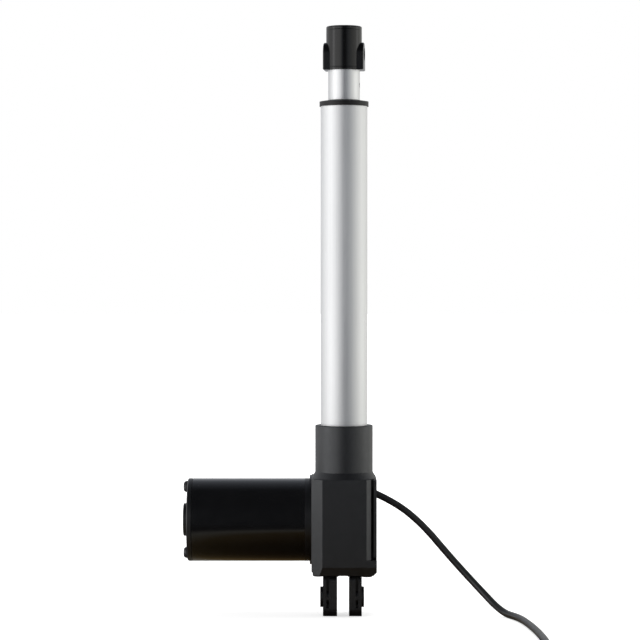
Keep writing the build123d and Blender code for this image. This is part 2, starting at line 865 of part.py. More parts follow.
def motor_magnets():
    """The two magnet arcs, before and behind the armature."""
    outer = motor_r - motor_wall - seat_gap
    ring = on_motor_axis(outer, magnet_left, magnet_left + magnet_length, magnet_inner_r)
    reach = outer * math.sin(math.radians(magnet_half_angle))
    span = (magnet_left, magnet_left + magnet_length)
    near = ring & slab(span, (motor_y - outer, motor_y - magnet_half_space), (motor_z - reach, motor_z + reach))
    far = ring & slab(span, (motor_y + magnet_half_space, motor_y + outer), (motor_z - reach, motor_z + reach))
    return group([near, far])


def slot_places():
    """The angles of the armature's slots."""
    return [n * 360 / core_slots for n in range(core_slots)]


def core_slot(gap, left, right):
    """One armature slot about the motor axis, before it is turned, narrowed by a gap."""
    width = core_slot_width - 2 * gap
    return slab((left, right), (-width / 2, width / 2), (core_r - core_slot_depth + gap, core_r + cut_past))


def armature_core():
    """The slotted iron core on the motor shaft."""
    solid = on_motor_axis(core_r, core_left, core_right, motor_shaft_r + seat_gap)
    for degrees in slot_places():
        solid -= on_axis(core_slot(0, core_left, core_right), degrees)
    return solid


def armature_windings():
    """The copper in the slots, with its two end rings."""
    outer = core_r - winding_sunk
    left, right = core_left - winding_overhang, core_right + winding_overhang
    solid = on_motor_axis(outer, left, core_left - winding_gap, core_hub_r)
    solid += on_motor_axis(outer, core_right + winding_gap, right, core_hub_r)
    for degrees in slot_places():
        bar = core_slot(winding_gap, left, right)
        bar &= slab((left, right), (-core_r, core_r), (0, outer))
        solid += on_axis(bar, degrees)
    return solid


def commutator():
    """The copper drum that the brushes run on, cut between its bars."""
    solid = on_motor_axis(commutator_r, commutator_left, commutator_right, motor_shaft_r + seat_gap)
    cut = slab((commutator_left, commutator_right), (-commutator_cut / 2, commutator_cut / 2),
               (commutator_r - commutator_cut_depth, commutator_r + cut_past))
    for degrees in slot_places():
        solid -= on_axis(cut, degrees)
    return solid


def motor_shaft():
    """The shaft from the rear bush to the bush beyond the worm."""
    return on_motor_axis(motor_shaft_r, cap_face + free_gap, worm_cavity_end + end_bush_length - free_gap)


def motor_bushes():
    """The three plain bushes of the motor shaft: in the end cap, in the flange and in the box."""
    bore = motor_shaft_r + running_gap
    rear = on_motor_axis(motor_bush_r, cap_face, cap_face + motor_bush_length, bore)
    front = on_motor_axis(motor_bush_r, flange_back, flange_back + motor_bush_length, bore)
    far = on_motor_axis(end_bush_r, worm_cavity_end, worm_cavity_end + end_bush_length, bore)
    return group([rear, front, far])


def brush_sides():
    """Each brush's side of the shaft: before it and behind it."""
    return (-1, 1)


def carbon_brushes():
    """Two brushes that reach to a running gap from the commutator."""
    middle = (commutator_left + commutator_right) / 2
    half = brush_width / 2
    brushes = []
    for side in brush_sides():
        near = side * (commutator_r - cut_past)
        far = side * (commutator_r + brush_length)
        block = slab((middle - half, middle + half), sorted((motor_y + near, motor_y + far)),
                     (motor_z - half, motor_z + half))
        brushes.append(block - on_motor_axis(commutator_r + sliding_gap, commutator_left, commutator_right))
    return group(brushes)


def brush_holder():
    """The insulating plate with a square guide for each brush."""
    outer = motor_r - motor_wall - seat_gap
    solid = on_motor_axis(outer, holder_left, holder_right, brush_holder_bore_r)
    middle = (commutator_left + commutator_right) / 2
    hollow = brush_width / 2 + seat_gap
    shell = hollow + brush_guide_wall
    near = brush_holder_bore_r
    far = commutator_r + brush_length + brush_guide_wall
    for side in brush_sides():
        reach = sorted((motor_y + side * near, motor_y + side * far))
        guide = slab((middle - shell, (holder_left + holder_right) / 2), reach,
                     (motor_z - shell, motor_z + shell))
        inner = sorted((motor_y + side * near, motor_y + side * (commutator_r + brush_length + seat_gap)))
        guide -= slab((middle - hollow, middle + hollow), inner, (motor_z - hollow, motor_z + hollow))
        solid += guide
    for z in tie_screw_heights():
        solid -= lying(tie_shank_r + free_gap, holder_left, holder_right, motor_y, z)
    return solid


# Limit switches

def limit_switch_strip():
    """The circuit strip between the tubes, seated in the housing and in the guide bush."""
    half = strip_width / 2
    return slab((-half, half), (strip_inner, strip_inner + strip_thickness), (strip_bottom, strip_top))


def limit_switches():
    """One flat switch where the nut stands at each end of the stroke."""
    switches = []
    for travel in (0.0, stroke):
        middle = nut_bottom + piston_height / 2 + travel
        switches.append(slab((-switch_width / 2, switch_width / 2),
                             (strip_inner - switch_height, strip_inner),
                             (middle - switch_length / 2, middle + switch_length / 2)))
    return group(switches)


# Cable: the stretch that lies free, then a coil and a plug, all on the surface below the clevis

CABLE_POINTS = [
    gland_face,
    (gland_face[0] + first_run * math.cos(math.radians(cable_slope)), gland_y,
     gland_face[2] - first_run * math.sin(math.radians(cable_slope))),
    (52.0, 21.0, 44.4),
    (70.0, 18.0, 23.2),
    (88.0, 11.0, 4.0),
    (102.0, -4.0, cable_rest_z),
    (111.0, -25.0, cable_rest_z),
    (115.0, -54.0, cable_rest_z),
    (117.6, -87.0, cable_rest_z),
    (118.8, -119.0, cable_rest_z),
    (119.1, -151.5, cable_rest_z),
    (118.0, -183.5, cable_rest_z),
]


def cable_radii(points):
    """The radius at each corner: as large as its two runs allow."""
    radii = []
    for before, corner, after in zip(points, points[1:], points[2:]):
        first = Vector(*corner) - Vector(*before)
        second = Vector(*after) - Vector(*corner)
        half_turn = math.radians(first.get_angle(second)) / 2
        radii.append(bend_share * min(first.length, second.length) / math.tan(half_turn))
    return radii


def cable_line():
    """The cable's middle line: straight runs joined by tangent arcs."""
    return FilletPolyline(*CABLE_POINTS, radius=cable_radii(CABLE_POINTS))


def power_cable():
    """The free stretch of the cable, from the gland to the coil."""
    line = cable_line()
    section = Plane(origin=line @ 0, z_dir=line % 0) * Circle(cable_d / 2)
    return sweep(section, path=line)


def coil_radii():
    """The inner and outer radius of the wound turns."""
    half_width = coil_turns_wide * cable_d / 2
    return coil_middle_r - half_width, coil_middle_r + half_width


def coil_middle():
    """The coil's middle. Its outermost turn carries on from the cable's last point."""
    last = CABLE_POINTS[-1]
    return (last[0] - coil_radii()[1] + cable_d / 2, last[1] - coil_run_in, floor_z)


def cable_coil():
    """The outer shape of the wound cable."""
    inner, outer = coil_radii()
    height = coil_turns_high * cable_d
    ring = Cylinder(outer, height, align=BASE) - Cylinder(inner, height, align=BASE)
    ring = fillet(ring.edges().filter_by(GeomType.CIRCLE), cable_d * coil_roundness)
    return Pos(*coil_middle()) * ring


def plug_middle():
    """Where the plug's body meets its boot, beside the coil, in line with the outermost turn."""
    x, y, z = coil_middle()
    outer = coil_radii()[1]
    lane = outer - cable_d / 2
    reach = math.sqrt(outer**2 - lane**2)
    return (x - reach - plug_boot + plug_bite, y - lane, z)


def cable_plug():
    """The two-way plug: a body with a recess for its contacts, and a tapered boot towards the coil."""
    x, y, z = plug_middle()
    half = plug_width / 2
    body = slab((x - plug_length, x), (y - half, y + half), (z, z + plug_height))
    body = chamfer(body.edges().filter_by(Axis.X), plug_edge)
    hollow = slab((x - plug_length, x - plug_length + contact_length + contact_recess),
                  (y - half + plug_wall, y + half - plug_wall),
                  (z + plug_wall, z + plug_height - plug_wall))
    boot = Cone(plug_height / 2 - free_gap, cable_d / 2 + boot_wall, plug_boot, align=BASE)
    return body - hollow + Pos(x, y, z + plug_height / 2) * Rot(0, 90, 0) * boot


def plug_contacts():
    """The two pins in the plug's recess."""
    x, y, z = plug_middle()
    half = contact_width / 2
    back = x - plug_length + contact_length + contact_recess
    level = z + plug_height / 2
    pins = []
    for side in (-1, 1):
        at = y + side * contact_pitch / 2
        pins.append(slab((back - contact_length, back), (at - half, at + half),
                         (level - half, level + half)))
    return group(pins)


PIECES = {
    "gear_housing": gear_housing,
    "rear_clevis": rear_clevis,
    "housing_screws": housing_screws,
    "side_cover": side_cover,
    "side_cover_screws": side_cover_screws,
    "cable_gland": cable_gland,
    "outer_tube": outer_tube,
    "tube_end_cap": tube_end_cap,
    "rod_wiper": rod_wiper,
    "guide_bush": guide_bush,
    "extension_tube": extension_tube,
    "spindle_nut": spindle_nut,
    "rod_end": rod_end,
    "roll_pin": roll_pin,
    "worm_wheel": worm_wheel,
    "worm": worm,
    "lead_screw": lead_screw,
    "spindle_circlip": spindle_circlip,
    "spindle_end_guide": spindle_end_guide,
    "bearing_inner_race": lambda: bearing_race(screw_r + seat_gap, screw_r + race_wall),
    "bearing_outer_race": lambda: bearing_race(bearing_r - race_wall, bearing_r),
    "bearing_balls": bearing_ball_set,
    "upper_bush": upper_bush,
    "motor_can": motor_can,
    "motor_flange": motor_flange,
    "motor_end_cap": motor_end_cap,
    "motor_tie_screws": motor_tie_screws,
    "motor_magnets": motor_magnets,
    "armature_core": armature_core,
    "armature_windings": armature_windings,
    "commutator": commutator,
    "motor_shaft": motor_shaft,
    "motor_bushes": motor_bushes,
    "carbon_brushes": carbon_brushes,
    "brush_holder": brush_holder,
    "limit_switch_strip": limit_switch_strip,
    "limit_switches": limit_switches,
    "power_cable": power_cable,
    "cable_coil": cable_coil,
    "cable_plug": cable_plug,
    "plug_contacts": plug_contacts,
}

os.makedirs("parts", exist_ok=True)
for name, make in PIECES.items():
    export_step(make(), f"parts/{name}.step")

line = cable_line()
print("cable radii", [round(r, 1) for r in cable_radii(CABLE_POINTS)])
print("cable volume", round(power_cable().volume, 1))
print("section by length", round(math.pi * cable_d**2 / 4 * line.length, 1))
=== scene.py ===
import bmesh
import bpy
import json
import math
from mathutils import Matrix, Vector


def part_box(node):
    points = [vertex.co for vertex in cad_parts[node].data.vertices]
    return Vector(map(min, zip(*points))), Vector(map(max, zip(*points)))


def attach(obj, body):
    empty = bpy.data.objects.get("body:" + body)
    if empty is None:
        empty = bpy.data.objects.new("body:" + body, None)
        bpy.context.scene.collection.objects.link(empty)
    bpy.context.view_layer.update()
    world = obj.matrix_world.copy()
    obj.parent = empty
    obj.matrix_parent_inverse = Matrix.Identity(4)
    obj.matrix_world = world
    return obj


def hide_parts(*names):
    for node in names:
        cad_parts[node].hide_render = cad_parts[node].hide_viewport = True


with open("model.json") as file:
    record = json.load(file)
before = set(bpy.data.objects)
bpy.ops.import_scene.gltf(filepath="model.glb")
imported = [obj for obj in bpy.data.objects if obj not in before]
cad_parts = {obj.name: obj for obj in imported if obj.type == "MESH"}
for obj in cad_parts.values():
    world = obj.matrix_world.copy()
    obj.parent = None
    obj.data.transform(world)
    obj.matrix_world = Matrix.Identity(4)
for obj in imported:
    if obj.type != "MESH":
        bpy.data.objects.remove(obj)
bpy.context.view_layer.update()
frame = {"nodes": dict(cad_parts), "record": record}

# Electric linear actuator, upright, front towards -Y. Metres.

# Camera, from the photograph's horizon and the tube's width in it
IMAGE_PX = 640
FOCAL_PX = 2402.0
HORIZON_PX = 275.5
CAMERA_X = -0.0155
CAMERA_DISTANCE = 1.550
CAMERA_HEIGHT = 0.2077
SENSOR_MM = 36.0
CLIP_START = 0.05

# Cable: its free stretch is listed, and its coil is worked out
CABLE_D = 0.0046
CABLE_ROUTE = [
    (0.0199, 0.0220, 0.0653),
    (0.03406, 0.0220, 0.0590),
    (0.0520, 0.0210, 0.0444),
    (0.0700, 0.0180, 0.0232),
    (0.0880, 0.0110, 0.0040),
    (0.1020, -0.0040, -0.0099),
    (0.1110, -0.0250, -0.0099),
    (0.1150, -0.0540, -0.0099),
    (0.1176, -0.0870, -0.0099),
    (0.1188, -0.1190, -0.0099),
    (0.1191, -0.1515, -0.0099),
    (0.1180, -0.1835, -0.0099),
]
CABLE_FACETS = 5
CABLE_STEPS = 10
CABLE_ORDER = 3
FLOOR_Z = -0.0122

# Coil: the lane of each turn, and where in a turn it changes. The inset and heights are in cable diameters.
COIL_LANES = (1, 0, 0, 1, 1)
COIL_STEPS = 16
COIL_CROSSING = 0.28
COIL_INSET = 1.5
TURNS_IN_LAYER = 2
FIRST_LAYER = 0.5
TOP_LAYER = 1
TAIL_STEPS = 4              # a quarter turn
TAIL_HEIGHT = 1.2
BOOT_REACH = 0.004
BOOT_DROP = 0.4

# Motor: the drum's left end, as the photograph shows it
DRUM_END_CUT = 0.0018
END_PLATE = 0.0030
END_PLATE_EDGE = 0.0006
END_BOSS_R = 0.0107
END_BOSS_EDGE = 0.0004
END_SPIGOT = 0.0040
END_BUSH_R = 0.0070
DRUM_WALL = 0.0018
DRUM_EDGE = 0.0003
TIE_HEAD = 0.0034

# Screws and other turned pieces
TURNED_SEGMENTS = 144
SCREW_SEGMENTS = 72
SHARP_ANGLE = math.radians(35)
WELD = 1e-6
TIP_R = 0.7                 # of the shank's radius, as the tip's length
TIP_LENGTH = 0.3
DOME_STEPS = 6
CROSS_ARM = 0.28            # half an arm's width, of its length
RECESS_STEPS = ((1.08, 0.0), (1.0, 0.08), (0.96, 1.0))      # of the recess's size and depth

# Side cover's gasket, which closes the groove between cover and box
GASKET_IN = 0.0003
GASKET_FRONT = 0.0050
GROOVE = 0.0018

# Studio. Azimuth 0 is the camera's side, and it grows towards +X.
FLOOR_HALF = 12.0
FLOOR_TONE = (0.8, 0.8, 0.8)
FLOOR_GLOW = (0.62, 1.0)
FLOOR_GLOW_REACH = (0.25, 0.8)
WORLD_LEVEL = 0.5

# Seen in reflections: the floor by its distance from the object, as a painted reflection with painted shade
# near the object and a painted highlight band further out; the walls by their azimuth, as painted reflections
# of the studio
MIRRORED_REACH = 0.5
PAINTED_FLOOR_REFLECTION = [
    (0.00, (0.03, 0.020, 0.011)),
    (0.06, (0.09, 0.058, 0.026)),
    (0.10, (0.15, 0.105, 0.045)),
    (0.13, (0.30, 0.29, 0.26)),
    (0.16, (0.04, 0.04, 0.045)),
]
MIRRORED_FADE = (0.2, 0.45)
# The dome glows and is seen only in reflections: painted reflections of the studio. Its brightest wall tones
# are painted highlights of the key and fill lamps.
DOME_RADIUS = 3.4
DOME_SEGMENTS = 96
WALL_GAIN = 3.0
WALL_BLUE_LEFT = 1.0
WALL_BLUE_RIGHT = 0.96
WALL_TONES = [
    (-180, 0.183),
    (-150, 0.193),
    (-120, 0.273),
    (-95, 0.333),
    (-80, 0.383),
    (-76, 0.733),
    (-66, 0.733),
    (-62, 0.417),
    (-45, 0.417),
    (-30, 0.383),
    (-22, 0.317),
    (-14, 0.117),
    (-8, 0.02),
    (7, 0.01),
    (14, 0.047),
    (25, 0.127),
    (45, 0.207),
    (65, 0.273),
    (84, 0.317),
    (88, 0.5),
    (98, 0.5),
    (102, 0.317),
    (125, 0.283),
    (150, 0.25),
    (180, 0.183),
]
CEILING_EDGE = (0.35, 0.65)
CEILING_TONES = (0.05, 0.30)
STUDIO_TINT = (0.88, 0.96, 1.14)
TINTED_TONES = (0.03, 0.25)
CEILING_TURN = (0.1, 0.8)
LAMP_TARGET = (0, 0, 0.17)
LAMPS = [       # name, azimuth, distance, height, size, watts, colour
    ("key", -70, 2.2, 0.35, (0.8, 1.8), 36, (1, 1, 1)),
    ("fill", 95, 2.2, 0.30, (0.7, 1.7), 26, (1, 0.98, 0.96)),
    ("top", 180, 0.9, 2.3, (1.6, 0.9), 20, (1, 1, 1)),
]


def lerp(a, b, t):
    return a + (b - a) * t


def smooth(t):
    t = max(0.0, min(1.0, t))
    return t * t * (3 - 2 * t)


def placed(name, data):
    """A new object in the scene."""
    made = bpy.data.objects.new(name, data)
    bpy.context.scene.collection.objects.link(made)
    return made


def mesh_from(made, name):
    """The mesh of a bmesh, which is freed."""
    mesh = bpy.data.meshes.new(name)
    made.to_mesh(mesh)
    made.free()
    return mesh


# Materials. Each noise has a scale and a detail, and moves its colour or roughness between two values.

METAL_DARK = 0.93           # a metal's darkest streaks, of its tone
LINES_SHARE = 0.7           # of a drawn tube's colour, and the clouds' share of it
CLOUDS_SHARE = 0.3
MIX_INPUTS = (0, 6, 7)      # the Mix node's factor and two colours, whose sockets share their names
MIX_OUTPUT = 2


class Nodes:
    """A node tree being built, with short ways to add and join its nodes."""

    def __init__(self, tree):
        self.tree = tree

    def add(self, kind, **settings):
        node = self.tree.nodes.new(kind)
        for name, value in settings.items():
            setattr(node, name, value)
        return node

    def link(self, source, target):
        self.tree.links.new(source, target)

    def math(self, operation, first, second):
        node = self.add("ShaderNodeMath", operation=operation)
        for socket, value in zip(node.inputs, (first, second)):
            if isinstance(value, (int, float)):
                socket.default_value = value
            else:
                self.link(value, socket)
        return node.outputs[0]

    def spread(self, fac, low, high, start=0.3, end=0.7):
        """A value mapped from a stretch of a factor to a range."""
        node = self.add("ShaderNodeMapRange")
        for name, value in (("From Min", start), ("From Max", end), ("To Min", low), ("To Max", high)):
            node.inputs[name].default_value = value
        self.link(fac, node.inputs["Value"])
        return node.outputs["Result"]

    def ramp(self, fac, tones):
        """A colour from (position, colour) pairs."""
        ramp = self.add("ShaderNodeValToRGB")
        elements = ramp.color_ramp.elements
        while len(elements) < len(tones):
            elements.new(0.5)
        for element, (position, colour) in zip(elements, tones):
            element.position = position
            element.color = (*colour, 1)
        self.link(fac, ramp.inputs["Fac"])
        return ramp.outputs["Color"]

    def mix(self, fac, first, second, blend="MIX"):
        """A colour with a share of another one blended in."""
        node = self.add("ShaderNodeMix", data_type="RGBA", blend_type=blend)
        for index, value in zip(MIX_INPUTS, (fac, first, second)):
            socket = node.inputs[index]
            if isinstance(value, tuple):
                socket.default_value = (*value, 1)
            else:
                self.link(value, socket)
        return node.outputs[MIX_OUTPUT]

    def seen_by(self, *kinds):
        """One for rays of these kinds, such as Is Camera Ray, and nought for others."""
        path = self.add("ShaderNodeLightPath")
        total = path.outputs[kinds[0]]
        for kind in kinds[1:]:
            total = self.math("MAXIMUM", total, path.outputs[kind])
        return total


class Paint(Nodes):
    """A material being built round its shader."""

    def __init__(self, name):
        self.mat = bpy.data.materials.new(name)
        self.mat.use_nodes = True
        super().__init__(self.mat.node_tree)
        self.shader = self.tree.nodes["Principled BSDF"]
        self.place = self.add("ShaderNodeTexCoord").outputs["Object"]

    def set(self, **values):
        """Constant values, on the shader's own sockets. An underscore stands for a space."""
        for name, value in values.items():
            self.shader.inputs[name.replace("_", " ")].default_value = value

    def scaled(self, scale):
        """The place in the object, stretched by a scale for each axis."""
        mapping = self.add("ShaderNodeMapping")
        mapping.inputs["Scale"].default_value = scale
        self.link(self.place, mapping.inputs["Vector"])
        return mapping.outputs["Vector"]

    def noise(self, scale, detail, stretch=(1, 1, 1), rough=0.5):
        node = self.add("ShaderNodeTexNoise")
        node.inputs["Scale"].default_value = scale
        node.inputs["Detail"].default_value = detail
        node.inputs["Roughness"].default_value = rough
        self.link(self.scaled(stretch), node.inputs["Vector"])
        return node.outputs["Fac"]

    def cells(self, scale):
        node = self.add("ShaderNodeTexVoronoi")
        node.inputs["Scale"].default_value = scale
        self.link(self.place, node.inputs["Vector"])
        return node.outputs["Distance"]

    def colour(self, fac, low, high, start=0.3, end=0.7):
        self.link(self.ramp(fac, ((start, low), (end, high))), self.shader.inputs["Base Color"])

    def roughness(self, fac, low, high):
        self.link(self.spread(fac, low, high), self.shader.inputs["Roughness"])

    def bump(self, height, distance, strength):
        node = self.add("ShaderNodeBump")
        node.inputs["Strength"].default_value = strength
        node.inputs["Distance"].default_value = distance
        self.link(height, node.inputs["Height"])
        self.link(node.outputs["Normal"], self.shader.inputs["Normal"])


def casting_black():
    """Satin black coat over a casting: a fine skin, faint clouds in its sheen."""
    p = Paint("casting_black")
    p.set(Specular_IOR_Level=1.0, Specular_Tint=(0.95, 0.97, 1.0, 1))
    p.colour(p.noise(90, 4), (0.0018, 0.0018, 0.0023), (0.0034, 0.0034, 0.0041))
    p.roughness(p.noise(240, 4), 0.42, 0.47)
    coarse = p.math("MULTIPLY", p.noise(800, 3), 0.7)
    p.bump(p.math("ADD", p.noise(2600, 2), coarse), 0.00012, 0.4)
    return p.mat


def polymer_black(name, shine):
    """Moulded black plastic with a fine spark texture."""
    p = Paint(name)
    p.set(Specular_IOR_Level=shine)
    p.colour(p.noise(120, 3), (0.0040, 0.0040, 0.0046), (0.0070, 0.0070, 0.0077))
    p.roughness(p.noise(300, 3), 0.40, 0.47)
    p.bump(p.cells(2000), 0.00008, 0.3)
    return p.mat


def tube_satin(name, tone, low, high):
    """Drawn and anodised aluminium: hair-fine lines along the tube and a cloudy sheen."""
    p = Paint(name)
    p.set(Metallic=1.0)
    lines = p.noise(1300, 4, (1, 1, 0.006), 0.6)
    clouds = p.noise(36, 3, (1, 1, 0.25))
    streaks = p.math("ADD", p.math("MULTIPLY", lines, LINES_SHARE), p.math("MULTIPLY", clouds, CLOUDS_SHARE))
    p.colour(streaks, tuple(c * METAL_DARK for c in tone), tone)
    p.roughness(clouds, low, high)
    p.bump(lines, 0.00004, 0.3)
    return p.mat


def enamel_black():
    """Gloss black enamel on a drawn drum, with slight waves from the spray."""
    p = Paint("enamel_black")
    p.set(Coat_Weight=0.6, Coat_Roughness=0.08)
    p.colour(p.noise(60, 3), (0.0014, 0.0013, 0.0012), (0.0026, 0.0024, 0.0023))
    p.roughness(p.noise(160, 3), 0.16, 0.22)
    p.bump(p.noise(420, 2), 0.00008, 0.12)
    return p.mat


def plate_black():
    """Satin black paint on the motor's end plates, with a fine cast skin."""
    p = Paint("plate_black")
    p.set(Specular_IOR_Level=0.8)
    p.colour(p.noise(110, 3), (0.0030, 0.0030, 0.0034), (0.0052, 0.0052, 0.0056))
    p.roughness(p.noise(260, 3), 0.30, 0.38)
    p.bump(p.noise(2400, 2), 0.00005, 0.25)
    return p.mat


def rod_end_black():
    """Black anodised rod end, turned: fine rings round the head and a soft gloss."""
    p = Paint("rod_end_black")
    p.set(Specular_IOR_Level=0.5)
    p.colour(p.noise(100, 3), (0.0018, 0.0018, 0.0020), (0.0034, 0.0033, 0.0033))
    rings = p.noise(2600, 2, (0.02, 0.02, 1))
    p.roughness(p.noise(200, 3), 0.17, 0.21)
    p.bump(rings, 0.000006, 0.08)
    return p.mat


def blackened_steel():
    """Blackened screw steel, a little worn to bare metal."""
    p = Paint("blackened_steel")
    p.set(Metallic=0.7)
    p.colour(p.noise(800, 4), (0.03, 0.03, 0.032), (0.09, 0.09, 0.092))
    p.roughness(p.noise(900, 3), 0.28, 0.42)
    p.bump(p.noise(1800, 2), 0.00003, 0.3)
    return p.mat


def bright_steel(name, tone, low, high, stretch=(1, 1, 1)):
    """Ground or polished steel with fine lines."""
    p = Paint(name)
    p.set(Metallic=1.0)
    lines = p.noise(2400, 3, stretch)
    p.colour(lines, tuple(c * METAL_DARK for c in tone), tone)
    p.roughness(lines, low, high)
    p.bump(lines, 0.00002, 0.3)
    return p.mat


def rubber_black(name, grain):
    """Soft black jacket: dull, with dust-fine mottling."""
    p = Paint(name)
    p.set(Specular_IOR_Level=0.7)
    p.colour(p.noise(260, 4), (0.009, 0.009, 0.0095), (0.016, 0.016, 0.0165))
    p.roughness(p.noise(500, 3), 0.30, 0.40)
    p.bump(p.noise(grain, 2), 0.00004, 0.25)
    return p.mat


def acetal_white():
    """Natural acetal: off-white, faintly mottled, slightly translucent."""
    p = Paint("acetal_white")
    p.set(Subsurface_Weight=0.1, Subsurface_Scale=0.002)
    p.colour(p.noise(150, 4), (0.70, 0.68, 0.62), (0.78, 0.77, 0.72))
    p.roughness(p.noise(400, 3), 0.35, 0.45)
    p.bump(p.noise(1600, 2), 0.00004, 0.2)
    return p.mat


def bronze():
    """Sintered bronze with its open pores."""
    p = Paint("sintered_bronze")
    p.set(Metallic=1.0)
    pores = p.cells(2200)
    p.colour(pores, (0.30, 0.20, 0.09), (0.62, 0.46, 0.22), 0.05, 0.35)
    p.roughness(p.noise(700, 3), 0.35, 0.5)
    p.bump(pores, 0.00008, 0.4)
    return p.mat


def copper():
    """Enamelled copper wire, laid side by side."""
    p = Paint("winding_copper")
    p.set(Metallic=1.0)
    wires = p.noise(1500, 2, (0.05, 1, 1))
    p.colour(wires, (0.42, 0.16, 0.07), (0.80, 0.40, 0.20))
    p.roughness(wires, 0.25, 0.4)
    p.bump(wires, 0.0002, 0.5)
    return p.mat


def ferrite():
    """Sintered ferrite, dark grey and dull."""
    p = Paint("ferrite")
    p.colour(p.noise(500, 4), (0.045, 0.045, 0.048), (0.075, 0.075, 0.078))
    p.roughness(p.noise(900, 3), 0.6, 0.75)
    p.bump(p.noise(2400, 3), 0.00008, 0.4)
    return p.mat


def carbon():
    """Pressed carbon with a faint metallic glint."""
    p = Paint("pressed_carbon")
    p.set(Metallic=0.3)
    p.colour(p.noise(1400, 4), (0.02, 0.02, 0.02), (0.05, 0.05, 0.05))
    p.roughness(p.noise(1200, 3), 0.45, 0.6)
    p.bump(p.noise(2600, 3), 0.00006, 0.4)
    return p.mat


def board_green():
    """Circuit laminate under its green mask."""
    p = Paint("board_green")
    p.set(Coat_Weight=0.3, Coat_Roughness=0.2)
    p.colour(p.noise(300, 3), (0.02, 0.085, 0.03), (0.03, 0.12, 0.045))
    p.roughness(p.noise(700, 3), 0.3, 0.4)
    p.bump(p.noise(2000, 2, (1, 1, 0.1)), 0.00004, 0.3)
    return p.mat


def tinned():
    """Tinned contact metal."""
    p = Paint("tinned")
    p.set(Metallic=1.0)
    p.colour(p.noise(1200, 3), (0.60, 0.58, 0.52), (0.74, 0.72, 0.66))
    p.roughness(p.noise(1500, 3), 0.22, 0.34)
    p.bump(p.noise(2600, 2), 0.00002, 0.3)
    return p.mat


def slot_materials():
    """One material for each of the record's slots."""
    return {
        "housing_casting": casting_black(),
        "tube_aluminium": tube_satin("outer_tube_satin", (0.94, 0.945, 0.95), 0.53, 0.59),
        "black_polymer": polymer_black("polymer_black", 1.0),
        "white_polymer": acetal_white(),
        "rod_end_steel": rod_end_black(),
        "motor_paint": enamel_black(),
        "end_plate_paint": plate_black(),
        "fastener_steel": blackened_steel(),
        "ground_steel": bright_steel("ground_steel", (0.62, 0.62, 0.63), 0.22, 0.34, (1, 1, 0.05)),
        "bearing_steel": bright_steel("bearing_steel", (0.72, 0.72, 0.74), 0.12, 0.2),
        "bush_bronze": bronze(),
        "copper": copper(),
        "magnet_ferrite": ferrite(),
        "carbon": carbon(),
        "board": board_green(),
        "seal_rubber": rubber_black("seal_rubber", 2200),
        "cable_jacket": rubber_black("cable_jacket", 1500),
        "contact_tin": tinned(),
    }


def dress_nodes(materials):
    """Every carried-over node takes the material of its slot, or one of its own."""
    own = {
        "extension_tube": tube_satin("rod_satin", (0.88, 0.885, 0.89), 0.42, 0.47),
        "tube_end_cap": polymer_black("cap_black", 0.4),
    }
    for part in frame["record"]["subparts"]:
        paint = own.get(part["node"], materials[part["material_slot"]])
        slots = frame["nodes"][part["node"]].data.materials
        if len(slots) == 0:
            slots.append(paint)
        for index in range(len(slots)):
            slots[index] = paint


# Turned pieces and screws

def loose_boxes(node):
    """The lowest and highest corner of each separate solid of a node, in order of place."""
    made = bmesh.new()
    made.from_mesh(frame["nodes"][node].data)
    bmesh.ops.remove_doubles(made, verts=made.verts, dist=WELD)
    left = set(made.verts)
    boxes = []
    while left:
        found = [left.pop()]
        for vert in found:
            near = {edge.other_vert(vert) for edge in vert.link_edges} & left
            left -= near
            found.extend(near)
        axes = list(zip(*(vert.co for vert in found)))
        boxes.append((Vector(min(axis) for axis in axes), Vector(max(axis) for axis in axes)))
    made.free()
    return sorted(boxes, key=lambda box: tuple(box[0]))


def hex_edge(angle, size):
    """How far a hexagon's edge is from its middle. size is from its middle to a flat."""
    return size / math.cos((angle + math.pi / 6) % (math.pi / 3) - math.pi / 6)


def cross_edge(angle, size):
    """How far a cross recess reaches. size is an arm's length."""
    across, along = sorted((abs(math.cos(angle)), abs(math.sin(angle))))
    arm = size * CROSS_ARM
    return size / along if size * across / along <= arm else arm / across


def screw_rings(head_r, head_height, dome, shank_r, shank_length, recess, size, depth):
    """Rings from the shank's tip to the foot of the recess, each a radius for an angle and a height."""
    places = [(shank_r * TIP_R, -shank_length), (shank_r, -shank_length + shank_r * TIP_LENGTH),
              (shank_r, 0), (head_r, 0), (head_r, head_height - dome)]
    for step in range(1, DOME_STEPS + 1):
        turn = step / DOME_STEPS * math.pi / 2
        places.append((head_r - dome * (1 - math.cos(turn)), head_height - dome + dome * math.sin(turn)))
    rings = round_rings(places)
    for share, sunk in RECESS_STEPS:
        rings.append((lambda angle, share=share: recess(angle, size * share), head_height - depth * sunk))
    return rings


def turned_mesh(name, seats, axis, rings, segments, tube=False):
    """Turned solids in one mesh, one on each seat. A tube's last ring closes on its first."""
    across = axis.orthogonal().normalized()
    other = axis.cross(across)
    made = bmesh.new()
    for seat in seats:
        layers = []
        for radius_at, height in rings:
            ring = []
            for step in range(segments):
                angle = 2 * math.pi * step / segments
                radius = radius_at(angle)
                place = across * math.cos(angle) * radius + other * math.sin(angle) * radius + axis * height
                ring.append(made.verts.new(seat + place))
            layers.append(ring)
        if tube:
            layers.append(layers[0])
        for below, above in zip(layers, layers[1:]):
            for step in range(segments):
                after = (step + 1) % segments
                made.faces.new((below[step], below[after], above[after], above[step]))
        if not tube:
            made.faces.new(reversed(layers[0]))
            made.faces.new(layers[-1])
    return mesh_from(made, name)


def add_turned(name, mesh, paint, replaced):
    """A turned mesh as a piece in the place of a node."""
    piece = placed(name, mesh)
    mesh.materials.append(paint)
    mesh.shade_smooth()
    mesh.set_sharp_from_angle(angle=SHARP_ANGLE)
    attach(piece, "housing")
    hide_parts(replaced)


def round_rings(places):
    """Plain rings from (radius, height) pairs."""
    return [(lambda angle, radius=radius: radius, height) for radius, height in places]


